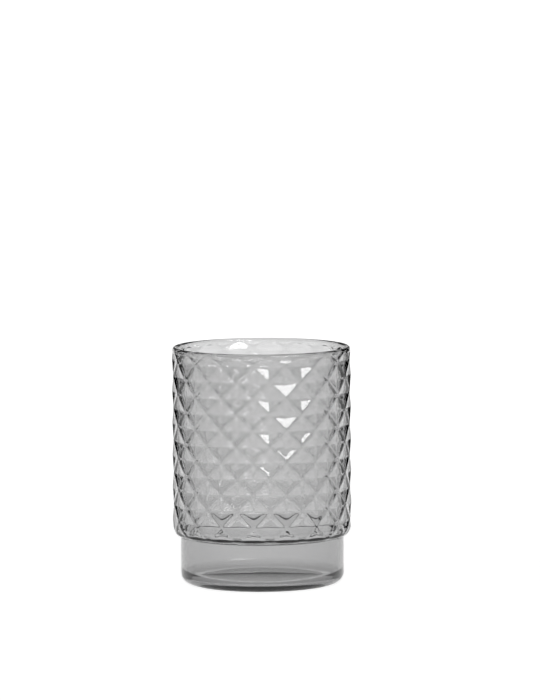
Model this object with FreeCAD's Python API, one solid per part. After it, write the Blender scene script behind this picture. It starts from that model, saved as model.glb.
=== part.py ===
import FreeCAD, Part
import math
import os

# Stacking whiskey tumbler of moulded, smoke-grey glass.
#
# A wide sleeve, covered outside with shallow four-sided hollows like inverted pyramids, turns in
# over a rounded shoulder to a plain, narrower foot with a thin floor. The real glass is one
# continuous piece. Its five zones are written here as separate solids that meet face to face on
# horizontal planes.
#
# Millimetres. The origin is the centre of the foot's resting ring, and +Z runs up the axis of
# the glass and out of the mouth. One upright column of hollows faces -Y.

# Driving dimensions
height = 106.0
rim_radius = 39.7            # outside of the smooth fire-polished lip
sleeve_radius = 40.0         # over the crossings of the ridges between the hollows
bore_radius = 37.5           # inside the sleeve
foot_radius = 36.4
foot_bore_radius = 34.3
lip_base_height = 103.8      # where the smooth lip takes over from the hollows
shoulder_top_height = 26.0   # where the straight sleeve turns in to the shoulder
shoulder_round = 4.9
floor_height = 3.0           # inside floor, next to the wall
floor_crown = 0.6            # rise of the inside floor at its centre
punt_depth = 1.3             # hollow under the middle of the floor
punt_radius = 27.5           # inner edge of the resting ring
base_round = 4.8             # outer corner between the resting ring and the foot wall
floor_fillet = 4.2           # inner corner between the floor and the foot wall

# The diamond-shaped hollows
columns = 34                 # upright lines of hollows, every other one half a row lower
hollow_depth = 1.3           # from the ridge crossings down to the middle of a hollow
hollow_height = 14.28         # from one ridge crossing up to the next on the same column
top_hollow_height = 100.55    # middles of the highest row of hollows
rows_below_top = 12          # half rows from the top hollows down to below the shoulder

# Derived dimensions
hollow_radius = sleeve_radius - hollow_depth
half_row = hollow_height / 2
envelope_radius = sleeve_radius + 0.05
resting_ring_radius = foot_radius - base_round
lip_round = (rim_radius - bore_radius) / 2
shoulder_centre = (envelope_radius - shoulder_round, shoulder_top_height)
step_angle = -math.degrees(math.acos((foot_radius - shoulder_centre[0]) / shoulder_round))
step_height = shoulder_top_height + shoulder_round * math.sin(math.radians(step_angle))
ledge_inner_round = bore_radius - shoulder_centre[0]
ledge_edge_round = shoulder_centre[0] - foot_bore_radius
ledge_edge_height = shoulder_top_height - ledge_inner_round - ledge_edge_round


def at(radius, z):
    """Point of the profile, which lies in the XZ half plane."""
    return FreeCAD.Vector(radius, 0, z)


def line(start, end):
    """Straight stretch of the profile."""
    return Part.LineSegment(at(*start), at(*end)).toShape()


def arc(centre, radius, start_degrees, end_degrees):
    """Round stretch of the profile, by its centre and the angles of its ends."""
    angles = (start_degrees, (start_degrees + end_degrees) / 2, end_degrees)
    points = []
    for angle in angles:
        turn = math.radians(angle)
        points.append(at(centre[0] + radius * math.cos(turn), centre[1] + radius * math.sin(turn)))
    return Part.Arc(*points).toShape()


def dome(edge_radius, edge_z, crown):
    """Shallow arc from the axis out to edge_radius, raised by crown at the axis."""
    sphere_radius = (edge_radius ** 2 + crown ** 2) / (2 * crown)
    middle = edge_radius / 2
    middle_z = edge_z + crown - sphere_radius + math.sqrt(sphere_radius ** 2 - middle ** 2)
    return Part.Arc(at(0, edge_z + crown), at(middle, middle_z), at(edge_radius, edge_z)).toShape()


def outer_profile():
    """Outside of the glass, from the axis under the floor up to the top of the sleeve."""
    return [
        dome(punt_radius, 0, punt_depth),
        line((punt_radius, 0), (resting_ring_radius, 0)),
        arc((resting_ring_radius, base_round), base_round, -90, 0),
        line((foot_radius, base_round), (foot_radius, step_height)),
        arc(shoulder_centre, shoulder_round, step_angle, 0),
        line((envelope_radius, shoulder_top_height), (envelope_radius, lip_base_height)),
    ]


def inner_profile():
    """Inside of the glass, from the axis on the floor up to the bottom of the lip."""
    floor_edge = foot_bore_radius - floor_fillet
    return [
        dome(floor_edge, floor_height, floor_crown),
        arc((floor_edge, floor_height + floor_fillet), floor_fillet, -90, 0),
        line((foot_bore_radius, floor_height + floor_fillet), (foot_bore_radius, ledge_edge_height)),
        arc((shoulder_centre[0], ledge_edge_height), ledge_edge_round, 180, 90),
        arc(shoulder_centre, ledge_inner_round, -90, 0),
        line((bore_radius, shoulder_top_height), (bore_radius, lip_base_height)),
    ]


def revolve(edges):
    """Solid of revolution about Z of a closed outline."""
    face = Part.Face(Part.Wire(Part.__sortEdges__(edges)))
    return face.revolve(FreeCAD.Vector(0, 0, 0), FreeCAD.Vector(0, 0, 1), 360)


def plain_glass():
    """The glass below its lip, before the hollows are pressed into it."""
    closing = [
        line((envelope_radius, lip_base_height), (bore_radius, lip_base_height)),
        line((0, punt_depth), (0, floor_height + floor_crown)),
    ]
    return revolve(outer_profile() + inner_profile() + closing)


def lattice_ring(row):
    """Vertices of one half row: middles of hollows and ridge crossings by turns."""
    ring = []
    for column in range(columns):
        is_hollow = (row + column) % 2 == 0
        radius = hollow_radius if is_hollow else sleeve_radius
        turn = math.tau * column / columns
        z = top_hollow_height - row * half_row
        ring.append(FreeCAD.Vector(radius * math.sin(turn), -radius * math.cos(turn), z))
    return ring


def polygon(points):
    """Flat face through the points in order."""
    return Part.Face(Part.makePolygon(points + points[:1]))


def lattice_solid():
    """Closed block whose side carries the hollows; each ridge runs between two crossings."""
    rings = [lattice_ring(row) for row in range(-1, rows_below_top + 1)]
    faces = [polygon(rings[0]), polygon(rings[-1])]
    for row, (upper, lower) in enumerate(zip(rings, rings[1:]), start=-1):
        for column in range(columns):
            after = (column + 1) % columns
            corners = [upper[column], upper[after], lower[after], lower[column]]
            if (row + column) % 2 == 0:
                corners = corners[1:] + corners[:1]
            faces.append(polygon([corners[0], corners[1], corners[2]]))
            faces.append(polygon([corners[0], corners[2], corners[3]]))
    shell = Part.Shell(faces)
    shell.sewShape()
    return Part.Solid(shell)


def slab(low, high):
    """Disc wider than the glass between two heights."""
    return Part.makeCylinder(sleeve_radius + 10, high - low, FreeCAD.Vector(0, 0, low))


def rim_lip():
    """Smooth lip with a fully rounded top."""
    crest_z = height - lip_round
    outline = [
        line((bore_radius, lip_base_height), (rim_radius, lip_base_height)),
        line((rim_radius, lip_base_height), (rim_radius, crest_z)),
        arc((bore_radius + lip_round, crest_z), lip_round, 0, 180),
        line((bore_radius, crest_z), (bore_radius, lip_base_height)),
    ]
    return revolve(outline)


def faceted_sleeve(glass, lattice):
    """Straight wall with the hollows outside and a plain bore."""
    return glass.common(slab(shoulder_top_height, lip_base_height)).common(lattice)


def shoulder_ring(glass, lattice):
    """Rounded step from the sleeve in to the foot, with the ledge inside it."""
    return glass.common(slab(step_height, shoulder_top_height)).common(lattice)


def foot_wall(glass):
    """Plain wall of the foot with the fillet down to the floor."""
    crown_space = Part.makeCylinder(foot_bore_radius - floor_fillet, step_height)
    return glass.common(slab(floor_height, step_height)).cut(crown_space)


def base_floor(glass):
    """Thin floor with its resting ring, rounded corner, punt and crowned top."""
    return glass.cut(foot_wall(glass)).common(slab(0, floor_height + floor_crown))


def write(name, shape):
    """Check that a zone is one closed solid and write its STEP file."""
    solid = shape.Solids[0]
    if len(shape.Solids) != 1 or not solid.isValid():
        raise RuntimeError(name + " is not one valid solid")
    solid.exportStep("parts/" + name + ".step")
    box = solid.BoundBox
    print(name, "faces", len(solid.Faces), "volume", round(solid.Volume, 1),
          "z", round(box.ZMin, 2), round(box.ZMax, 2), "x", round(box.XMin, 2), round(box.XMax, 2))


def main():
    os.makedirs("parts", exist_ok=True)
    glass = plain_glass()
    lattice = lattice_solid()
    write("rim_lip", rim_lip())
    write("faceted_sleeve", faceted_sleeve(glass, lattice))
    write("shoulder_ring", shoulder_ring(glass, lattice))
    write("foot_wall", foot_wall(glass))
    write("base_floor", base_floor(glass))


main()
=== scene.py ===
import math

import bpy
import numpy as np
from mathutils import Matrix, Vector


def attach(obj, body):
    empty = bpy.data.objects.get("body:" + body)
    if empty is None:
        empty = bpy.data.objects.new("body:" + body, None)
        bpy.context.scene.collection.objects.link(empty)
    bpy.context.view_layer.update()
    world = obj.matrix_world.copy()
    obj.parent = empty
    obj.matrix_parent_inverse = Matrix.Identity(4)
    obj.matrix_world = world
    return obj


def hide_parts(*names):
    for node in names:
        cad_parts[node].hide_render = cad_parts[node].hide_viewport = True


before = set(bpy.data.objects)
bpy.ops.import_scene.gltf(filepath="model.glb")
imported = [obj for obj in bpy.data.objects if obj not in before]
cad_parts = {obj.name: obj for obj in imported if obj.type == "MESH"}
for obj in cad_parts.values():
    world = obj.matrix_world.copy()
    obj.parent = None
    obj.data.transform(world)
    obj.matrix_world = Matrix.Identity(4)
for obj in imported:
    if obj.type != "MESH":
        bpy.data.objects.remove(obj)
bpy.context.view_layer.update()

# A smoke-grey glass tumbler. A wide sleeve of diamond-shaped hollows steps in over a rounded shoulder
# to a plain foot. The glass is one closed skin of rings of vertices, down the outside and up the
# inside. The glass and the camera are in millimetres, and the stage around them is in metres.

# The outside
HEIGHT = 106.0
RIM_RADIUS = 39.7
SLEEVE_RADIUS = 40.0         # to the ridges between the hollows
ENVELOPE_RADIUS = SLEEVE_RADIUS + 0.05
LIP_ROUND = 1.1
SHOULDER_TOP = 26.0
SHOULDER_ROUND = 4.9
SHOULDER_CENTRE = ENVELOPE_RADIUS - SHOULDER_ROUND
SHOULDER_SWEEP = 88          # degrees, from the sleeve towards the foot
STEP_ROUND = 0.15            # softness of the corner where the shoulder meets the foot
FOOT_RADIUS = 36.4
BASE_ROUND = 4.8
PUNT_DEPTH = 1.3
PUNT_RADIUS = 27.5

# The inside
BORE_RADIUS = 37.5
FOOT_BORE_RADIUS = 34.3
LEDGE_START = 20.6           # height at which the foot's bore starts to widen into the ledge
LEDGE_EDGE = 2.1             # radius of that rounded edge
LEDGE_SWEEP = -70            # degrees, where the inside of the shoulder takes over from the ledge
LEDGE_WIDENING = 0.45        # the wall is a little thicker low on the shoulder
FLOOR_HEIGHT = 3.0
FLOOR_CROWN = 0.6
FLOOR_FILLET = 4.2

# The diamond-shaped hollows
COLUMNS = 34
HOLLOW_DEPTH = 1.3
BOWL = 0.2                   # how much steeper the facets get towards the ridges
HALF_ROW = 7.14
TOP_HOLLOW = 100.55
SQUEEZE_START = 101.8        # above this height the last row is squeezed under the lip
SQUEEZE = 0.36
BAND_START = 103.2           # the relief blends into the plain lip between these heights
BAND_END = 104.0
RELIEF_GONE = 22.0           # the relief has faded out over the shoulder at this height
OUTER_RELIEF_FULL = 24.0     # and is whole from these, outside and inside
INNER_RELIEF_FULL = 25.5
OUTER_PASSES = 1             # passes of rounding over the ridges outside
INNER_PASSES = 5             # the inside follows the hollows, rounder and shallower
INNER_FOLLOW = 0.78

# The rings and vertices
STEPS = 10                   # steps across one column and down one half row
AROUND = COLUMNS * STEPS
TOP_RING = 104.4             # highest ring of the sleeve, from where the squeezed rings go down
SQUEEZED_SPACING = 0.3
LATTICE_BOTTOM = 16.0        # lowest height at which the relief is worked out
POLE_RING = 1.5              # radius of the smallest ring round the middle of the floor and punt
SMALL_GAP = 0.1              # keeps the even rings clear of the stretches above and below them

# The glass
IOR = 1.5
TINT = (0.18, 0.18, 0.185, 1)
TINT_DENSITY = 238.0
UNEVEN_SCALE = 60            # of the noise behind the unevenness
UNEVEN_ROUGHNESS = 0.02
UNEVEN_BUMP = 0.03

# The camera, in millimetres and degrees
CAMERA_DISTANCE = 2400.0
CAMERA_LENS = 276.5
CAMERA_SENSOR = 36
CAMERA_RAISED = 6.8
CAMERA_ROUND = 5.1           # how far it stands to the left of the -Y column of hollows
CAMERA_ROLL = -0.30
CAMERA_TARGET = 54.0
CAMERA_AIM_RIGHT = 3.9
CAMERA_AIM_UP = 50.0
CAMERA_SEES_TO = 50          # metres

# The surroundings: brightness by the sine of the elevation
SKY = ((-0.30, 1.02), (-0.20, 1.05), (-0.03, 1.22), (0.04, 1.22), (0.12, 0.15), (1.0, 0.15))
SKY_STRENGTH = 2.0           # the ramp's stops hold each brightness divided by this

# The stage, in metres and degrees
FLOOR_REACH = 6
FLOOR_COLOUR = 0.45
FLOOR_ROUGHNESS = 0.6
FLOOR_GLOW = 0.95
FLOOR_SOLID = 0.12           # distance from the glass at which the floor starts to fade
FLOOR_END = 0.45             # and at which only the surroundings are left
PANEL_Z = 0.26
PANEL_AIM = (0, 0, 0.06)
SOFT_BOX_AZIMUTH = 32
SOFT_BOX_DISTANCE = 0.51
SOFT_BOX_SIZE = (0.36, 0.16)
SOFT_BOX_GLOW = 12
CARD_AZIMUTHS = (45, 135, 225, 315)
CARD_DISTANCE = 0.75
CARD_SIZE = (0.55, 0.52)


def smooth(share):
    """Ease a share from 0 to 1 in and out."""
    return share * share * (3 - 2 * share)


def squeezed(z):
    """Heights on the even lattice of hollows that stand for these real heights."""
    return z + SQUEEZE * np.maximum(z - SQUEEZE_START, 0) ** 2


def hollow_radius(column, z):
    """Radius of the flat-sided hollows at a column coordinate and a height."""
    row = (TOP_HOLLOW - squeezed(z)) / HALF_ROW
    diagonal, other = (column + row) / 2, (column - row) / 2
    off_diagonal, off_other = diagonal - np.round(diagonal), other - np.round(other)
    sideways = np.abs(off_diagonal + off_other)
    upwards = np.abs(off_diagonal - off_other)
    step = math.tau / COLUMNS
    bottom = SLEEVE_RADIUS - HOLLOW_DEPTH
    lean = (SLEEVE_RADIUS * math.cos(step) - bottom) / (SLEEVE_RADIUS * math.sin(step))
    turn = sideways * step
    radius = (bottom + HOLLOW_DEPTH * upwards) / (np.cos(turn) - lean * np.sin(turn))
    reach = np.minimum(sideways + upwards, 1)
    radius = radius - HOLLOW_DEPTH * BOWL * reach * (1 - reach)
    band = smooth(np.clip((z - BAND_START) / (BAND_END - BAND_START), 0, 1))
    return radius * (1 - band) + RIM_RADIUS * band


def soft_most(values, floor, width):
    """The larger of the values and the floor, with the corner between them rounded off."""
    return floor + width * np.log1p(np.exp((values - floor) / width))


def shoulder_profile(count):
    """Radii and heights down the rounded shoulder, from the sleeve to the foot."""
    angles = np.radians(np.linspace(0, SHOULDER_SWEEP, count))
    radii = soft_most(SHOULDER_CENTRE + SHOULDER_ROUND * np.cos(angles), FOOT_RADIUS, STEP_ROUND)
    return radii, SHOULDER_TOP - SHOULDER_ROUND * np.sin(angles)


def arc(centre_r, centre_z, radius, start, end, count):
    """Profile points on an arc, angles in degrees."""
    angles = np.radians(np.linspace(start, end, count))
    return [(centre_r + radius * math.cos(a), centre_z + radius * math.sin(a)) for a in angles]


def even(start, end, count):
    """Profile points on a straight line."""
    return [(start[0] + (end[0] - start[0]) * t, start[1] + (end[1] - start[1]) * t)
            for t in np.linspace(0, 1, count)]


def rounded(radii, passes):
    """The radii with their ridges rounded by averaging with the neighbours."""
    for _ in range(passes):
        radii = (np.roll(radii, 1, 1) + 2 * radii + np.roll(radii, -1, 1)) / 4
        above = np.vstack([radii[:1], radii[:-1]])
        below = np.vstack([radii[1:], radii[-1:]])
        radii = (above + 2 * radii + below) / 4
    return radii


def lattice_heights(lowest):
    """Heights of the rings of the sleeve, downwards, in step with the rows of hollows."""
    squeezed_rows = np.arange(TOP_RING, SQUEEZE_START, -SQUEEZED_SPACING)
    first = math.ceil((TOP_HOLLOW - SQUEEZE_START + SMALL_GAP) / HALF_ROW * STEPS)
    last = int((TOP_HOLLOW - lowest) / HALF_ROW * STEPS)
    even_rows = TOP_HOLLOW - np.arange(first, last + 1) * HALF_ROW / STEPS
    return np.concatenate([squeezed_rows, even_rows])


def relief(heights, passes):
    """Rounded radii of the sleeve's surface at every vertex of rings at these heights."""
    grid = lattice_heights(LATTICE_BOTTOM)
    column = np.arange(AROUND) / STEPS
    radii = rounded(hollow_radius(column[None, :], grid[:, None]), passes)
    places = np.interp(-np.asarray(heights), -grid, np.arange(len(grid)))
    low = np.minimum(places.astype(int), len(grid) - 2)
    share = (places - low)[:, None]
    return radii[low] * (1 - share) + radii[low + 1] * share


def relief_left(heights, full):
    """Share of the relief that is left as the sleeve turns in over the shoulder."""
    return smooth(np.clip((heights - RELIEF_GONE) / (full - RELIEF_GONE), 0, 1))[:, None]


def sleeve_rings():
    """Outside of the sleeve and shoulder: radii of every vertex, ring by ring downwards."""
    straight = lattice_heights(SHOULDER_TOP + SMALL_GAP)
    shoulder_r, shoulder_z = shoulder_profile(30)
    heights = np.concatenate([straight, shoulder_z])
    envelope = np.concatenate([np.full(len(straight), shoulder_r[0]), shoulder_r])
    depth = shoulder_r[0] - relief(heights, OUTER_PASSES)
    return envelope[:, None] - depth * relief_left(heights, OUTER_RELIEF_FULL), heights


def inner_sleeve_rings():
    """Inside of the shoulder and sleeve, ring by ring upwards."""
    angles = np.radians(np.linspace(LEDGE_SWEEP, 0, 14))
    inner = BORE_RADIUS - SHOULDER_CENTRE - LEDGE_WIDENING * np.sin(angles)
    straight = lattice_heights(SHOULDER_TOP + SMALL_GAP)[::-1]
    straight = straight[straight < HEIGHT - LIP_ROUND - 1.0]
    heights = np.concatenate([SHOULDER_TOP + inner * np.sin(angles), straight])
    shoulder_r = SHOULDER_CENTRE + inner * np.cos(angles)
    envelope = np.concatenate([shoulder_r, np.full(len(straight), BORE_RADIUS)])
    depth = (RIM_RADIUS - relief(heights, INNER_PASSES)) * INNER_FOLLOW
    return envelope[:, None] - depth * relief_left(heights, INNER_RELIEF_FULL), heights


def foot_profile():
    """The plain outside below the shoulder, down and in to the middle of the punt."""
    step_z = shoulder_profile(2)[1][-1]
    ring = FOOT_RADIUS - BASE_ROUND
    sphere = (PUNT_RADIUS ** 2 + PUNT_DEPTH ** 2) / (2 * PUNT_DEPTH)
    points = [(FOOT_RADIUS, step_z - 0.35)]
    points += even((FOOT_RADIUS, step_z - 1.2), (FOOT_RADIUS, BASE_ROUND + 0.6), 8)
    points += arc(ring, BASE_ROUND, BASE_ROUND, 0, -90, 16)
    points += even((ring - 0.8, 0), (PUNT_RADIUS + 0.6, 0), 3)
    for radius in np.linspace(PUNT_RADIUS, POLE_RING, 14):
        points.append((radius, PUNT_DEPTH - sphere + math.sqrt(sphere ** 2 - radius ** 2)))
    return points


def floor_profile():
    """The inside, from near the middle of the floor out and up the foot to the ledge."""
    edge = FOOT_BORE_RADIUS - FLOOR_FILLET
    sphere = (edge ** 2 + FLOOR_CROWN ** 2) / (2 * FLOOR_CROWN)
    points = []
    for radius in np.linspace(POLE_RING, edge - 1.0, 14):
        rise = math.sqrt(sphere ** 2 - radius ** 2) - sphere
        points.append((radius, FLOOR_HEIGHT + FLOOR_CROWN + rise))
    points += arc(edge, FLOOR_HEIGHT + FLOOR_FILLET, FLOOR_FILLET, -90, 0, 14)
    points += even((FOOT_BORE_RADIUS, FLOOR_HEIGHT + FLOOR_FILLET + 1.5),
                   (FOOT_BORE_RADIUS, LEDGE_START - 0.5), 10)
    points += arc(FOOT_BORE_RADIUS + LEDGE_EDGE, LEDGE_START, LEDGE_EDGE, 180, 113, 9)
    return points


def lip_profile():
    """Over the rounded top of the lip, from the inside out."""
    middle = (BORE_RADIUS + RIM_RADIUS) / 2
    return arc(middle, HEIGHT - LIP_ROUND, LIP_ROUND, 180, 0, 15)


def circles(profile):
    """Round rings for a plain profile."""
    return [(np.full(AROUND, r), z) for r, z in profile]


def strip_faces(upper, lower, rising):
    """Two triangles for each step between two rings, divided the way the ridge there runs."""
    this = np.arange(AROUND)
    after = (this + 1) % AROUND
    a, b = upper * AROUND + this, upper * AROUND + after
    c, d = lower * AROUND + after, lower * AROUND + this
    first = np.where(rising[:, None], np.stack([a, d, b], 1), np.stack([a, d, c], 1))
    second = np.where(rising[:, None], np.stack([b, d, c], 1), np.stack([a, c, b], 1))
    return [first, second]


def glass_faces(rings, outer_count):
    """Triangles between all the rings, and the two caps round the middle of the glass."""
    this = np.arange(AROUND)
    after = (this + 1) % AROUND
    faces = []
    for upper in range(len(rings)):
        if upper == outer_count - 1:
            continue
        lower = (upper + 1) % len(rings)
        middle_z = (rings[upper][1] + rings[lower][1]) / 2
        cell = math.floor((TOP_HOLLOW - squeezed(middle_z)) / HALF_ROW)
        rising = (this // STEPS + cell) % 2 == (0 if upper < outer_count else 1)
        faces += strip_faces(upper, lower, rising)
    punt_ring, floor_ring = (outer_count - 1) * AROUND, outer_count * AROUND
    punt_pole, floor_pole = len(rings) * AROUND, len(rings) * AROUND + 1
    faces.append(np.stack([punt_ring + this, np.full(AROUND, punt_pole), punt_ring + after], 1))
    faces.append(np.stack([floor_ring + this, floor_ring + after, np.full(AROUND, floor_pole)], 1))
    return np.concatenate(faces)


def build_glass():
    """One closed skin for the whole tumbler, in metres."""
    turns = math.tau * np.arange(AROUND) / AROUND
    outside = list(zip(*sleeve_rings())) + circles(foot_profile())
    inside = circles(floor_profile()) + list(zip(*inner_sleeve_rings())) + circles(lip_profile())
    rings = outside + inside
    points = [np.stack([r * np.sin(turns), -r * np.cos(turns), np.full(AROUND, z)], 1)
              for r, z in rings]
    poles = np.array([[0, 0, PUNT_DEPTH], [0, 0, FLOOR_HEIGHT + FLOOR_CROWN]])
    vertices = np.concatenate(points + [poles]) * 0.001
    mesh = bpy.data.meshes.new("tumbler_glass")
    mesh.from_pydata(vertices.tolist(), [], glass_faces(rings, len(outside)).tolist())
    mesh.validate()
    mesh.shade_smooth()
    tumbler = bpy.data.objects.new("tumbler_glass", mesh)
    bpy.context.scene.collection.objects.link(tumbler)
    return tumbler


def smoke_glass():
    """Clear, smoke-grey glass: the grey is absorbed in the thickness."""
    material = bpy.data.materials.new("smoke_glass")
    material.use_nodes = True
    nodes, links = material.node_tree.nodes, material.node_tree.links
    shader = nodes["Principled BSDF"]
    shader.inputs["Base Color"].default_value = (1, 1, 1, 1)
    shader.inputs["Transmission Weight"].default_value = 1.0
    shader.inputs["IOR"].default_value = IOR
    position = nodes.new("ShaderNodeTexCoord")
    noise = nodes.new("ShaderNodeTexNoise")
    noise.inputs["Scale"].default_value = UNEVEN_SCALE
    links.new(position.outputs["Object"], noise.inputs["Vector"])
    spread = nodes.new("ShaderNodeMapRange")
    spread.inputs["To Min"].default_value = 0.0
    spread.inputs["To Max"].default_value = UNEVEN_ROUGHNESS
    links.new(noise.outputs["Fac"], spread.inputs["Value"])
    links.new(spread.outputs["Result"], shader.inputs["Roughness"])
    bump = nodes.new("ShaderNodeBump")
    bump.inputs["Strength"].default_value = UNEVEN_BUMP
    bump.inputs["Distance"].default_value = 0.001
    links.new(noise.outputs["Fac"], bump.inputs["Height"])
    links.new(bump.outputs["Normal"], shader.inputs["Normal"])
    absorb = nodes.new("ShaderNodeVolumeAbsorption")
    absorb.inputs["Color"].default_value = TINT
    absorb.inputs["Density"].default_value = TINT_DENSITY
    links.new(absorb.outputs["Volume"], nodes["Material Output"].inputs["Volume"])
    return material


def plain_material(name, colour, roughness, glow=0.0):
    """Even stage material without highlights, which glows white if a strength is given."""
    material = bpy.data.materials.new(name)
    material.use_nodes = True
    shader = material.node_tree.nodes["Principled BSDF"]
    shader.inputs["Base Color"].default_value = colour
    shader.inputs["Roughness"].default_value = roughness
    shader.inputs["Specular IOR Level"].default_value = 0.0
    if glow:
        shader.inputs["Emission Color"].default_value = (1, 1, 1, 1)
        shader.inputs["Emission Strength"].default_value = glow
    return material


def sheet_mesh(name, width, height, material):
    """Flat rectangle round its own middle."""
    mesh = bpy.data.meshes.new(name)
    w, h = width / 2, height / 2
    mesh.from_pydata([(-w, -h, 0), (w, -h, 0), (w, h, 0), (-w, h, 0)], [], [(0, 1, 2, 3)])
    mesh.materials.append(material)
    return mesh


def panel(name, centre, size, glow):
    """Glowing or black sheet that faces the glass, seen only in it and through it."""
    mesh = sheet_mesh(name, *size, plain_material(name, (0, 0, 0, 1), 1.0, glow))
    sheet = bpy.data.objects.new(name, mesh)
    bpy.context.scene.collection.objects.link(sheet)
    sheet.location = centre
    direction = Vector(PANEL_AIM) - Vector(centre)
    sheet.rotation_euler = direction.to_track_quat("Z", "Y").to_euler()
    sheet.visible_camera = False
    sheet.visible_diffuse = False
    sheet.visible_shadow = False


def around(azimuth, distance):
    """Place for a panel at an azimuth to the right of the camera's side of the glass."""
    turn = math.radians(azimuth - CAMERA_ROUND)
    return (distance * math.sin(turn), -distance * math.cos(turn), PANEL_Z)


def build_floor():
    """Pale floor that fades into the equally pale surroundings."""
    shade = (FLOOR_COLOUR, FLOOR_COLOUR, FLOOR_COLOUR, 1)
    material = plain_material("floor", shade, FLOOR_ROUGHNESS, FLOOR_GLOW)
    nodes, links = material.node_tree.nodes, material.node_tree.links
    place = nodes.new("ShaderNodeTexCoord")
    distance = nodes.new("ShaderNodeVectorMath")
    distance.operation = "LENGTH"
    links.new(place.outputs["Object"], distance.inputs[0])
    fade = nodes.new("ShaderNodeMapRange")
    fade.interpolation_type = "SMOOTHSTEP"
    fade.inputs["From Min"].default_value = FLOOR_SOLID
    fade.inputs["From Max"].default_value = FLOOR_END
    links.new(distance.outputs["Value"], fade.inputs["Value"])
    clear = nodes.new("ShaderNodeBsdfTransparent")
    mix = nodes.new("ShaderNodeMixShader")
    links.new(fade.outputs["Result"], mix.inputs["Fac"])
    links.new(nodes["Principled BSDF"].outputs["BSDF"], mix.inputs[1])
    links.new(clear.outputs["BSDF"], mix.inputs[2])
    links.new(mix.outputs["Shader"], nodes["Material Output"].inputs["Surface"])
    mesh = sheet_mesh("floor", 2 * FLOOR_REACH, 2 * FLOOR_REACH, material)
    floor = bpy.data.objects.new("floor", mesh)
    bpy.context.scene.collection.objects.link(floor)


def light_scene():
    """Pale surroundings, one soft box right of the camera, and four dark cards for the edges."""
    world = bpy.data.worlds.new("studio")
    bpy.context.scene.world = world
    world.use_nodes = True
    nodes, links = world.node_tree.nodes, world.node_tree.links
    direction = nodes.new("ShaderNodeTexCoord")
    split = nodes.new("ShaderNodeSeparateXYZ")
    links.new(direction.outputs["Generated"], split.inputs["Vector"])
    to_share = nodes.new("ShaderNodeMapRange")
    to_share.inputs["From Min"].default_value = -1.0
    links.new(split.outputs["Z"], to_share.inputs["Value"])
    ramp = nodes.new("ShaderNodeValToRGB")
    stops = ramp.color_ramp.elements
    while len(stops) < len(SKY):
        stops.new(0.5)
    for stop, (sine, brightness) in zip(stops, SKY):
        stop.position = (sine + 1) / 2
        level = brightness / SKY_STRENGTH
        stop.color = (level, level, level, 1)
    links.new(to_share.outputs["Result"], ramp.inputs["Fac"])
    links.new(ramp.outputs["Color"], nodes["Background"].inputs["Color"])
    nodes["Background"].inputs["Strength"].default_value = SKY_STRENGTH
    soft_box = around(SOFT_BOX_AZIMUTH, SOFT_BOX_DISTANCE)
    panel("soft_box", soft_box, SOFT_BOX_SIZE, SOFT_BOX_GLOW)
    for number, azimuth in enumerate(CARD_AZIMUTHS):
        card = around(azimuth + CAMERA_ROUND, CARD_DISTANCE)
        panel("dark_card_" + str(number), card, CARD_SIZE, 0)


def place_camera():
    """Camera in front of the glass, a little above it and aimed a little high."""
    data = bpy.data.cameras.new("camera")
    data.lens = CAMERA_LENS
    data.sensor_width = CAMERA_SENSOR
    data.clip_end = CAMERA_SEES_TO
    camera = bpy.data.objects.new("camera", data)
    bpy.context.scene.collection.objects.link(camera)
    turn, up = math.radians(CAMERA_ROUND), math.radians(CAMERA_RAISED)
    away = Vector((-math.sin(turn) * math.cos(up), -math.cos(turn) * math.cos(up), math.sin(up)))
    target = Vector((0, 0, CAMERA_TARGET))
    place = target + away * CAMERA_DISTANCE
    right = (-away).cross(Vector((0, 0, 1))).normalized()
    upwards = right.cross(-away).normalized()
    aim = target + right * CAMERA_AIM_RIGHT + upwards * CAMERA_AIM_UP
    camera.location = place * 0.001
    look = (aim - place).to_track_quat("-Z", "Y").to_matrix()
    camera.rotation_euler = (look @ Matrix.Rotation(math.radians(CAMERA_ROLL), 3, "Z")).to_euler()
    bpy.context.scene.camera = camera


def set_look():
    """Plain colour response and enough bounces for two glass walls seen through each other."""
    scene = bpy.context.scene
    scene.view_settings.view_transform = "Standard"
    scene.cycles.max_bounces = 32
    scene.cycles.transmission_bounces = 32
    scene.cycles.glossy_bounces = 16
    scene.cycles.diffuse_bounces = 4
    scene.cycles.transparent_max_bounces = 16
    scene.cycles.use_denoising = True


glass = build_glass()
glass.data.materials.append(smoke_glass())
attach(glass, "root")
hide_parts("rim_lip", "faceted_sleeve", "shoulder_ring", "foot_wall", "base_floor")
build_floor()
light_scene()
place_camera()
set_look()
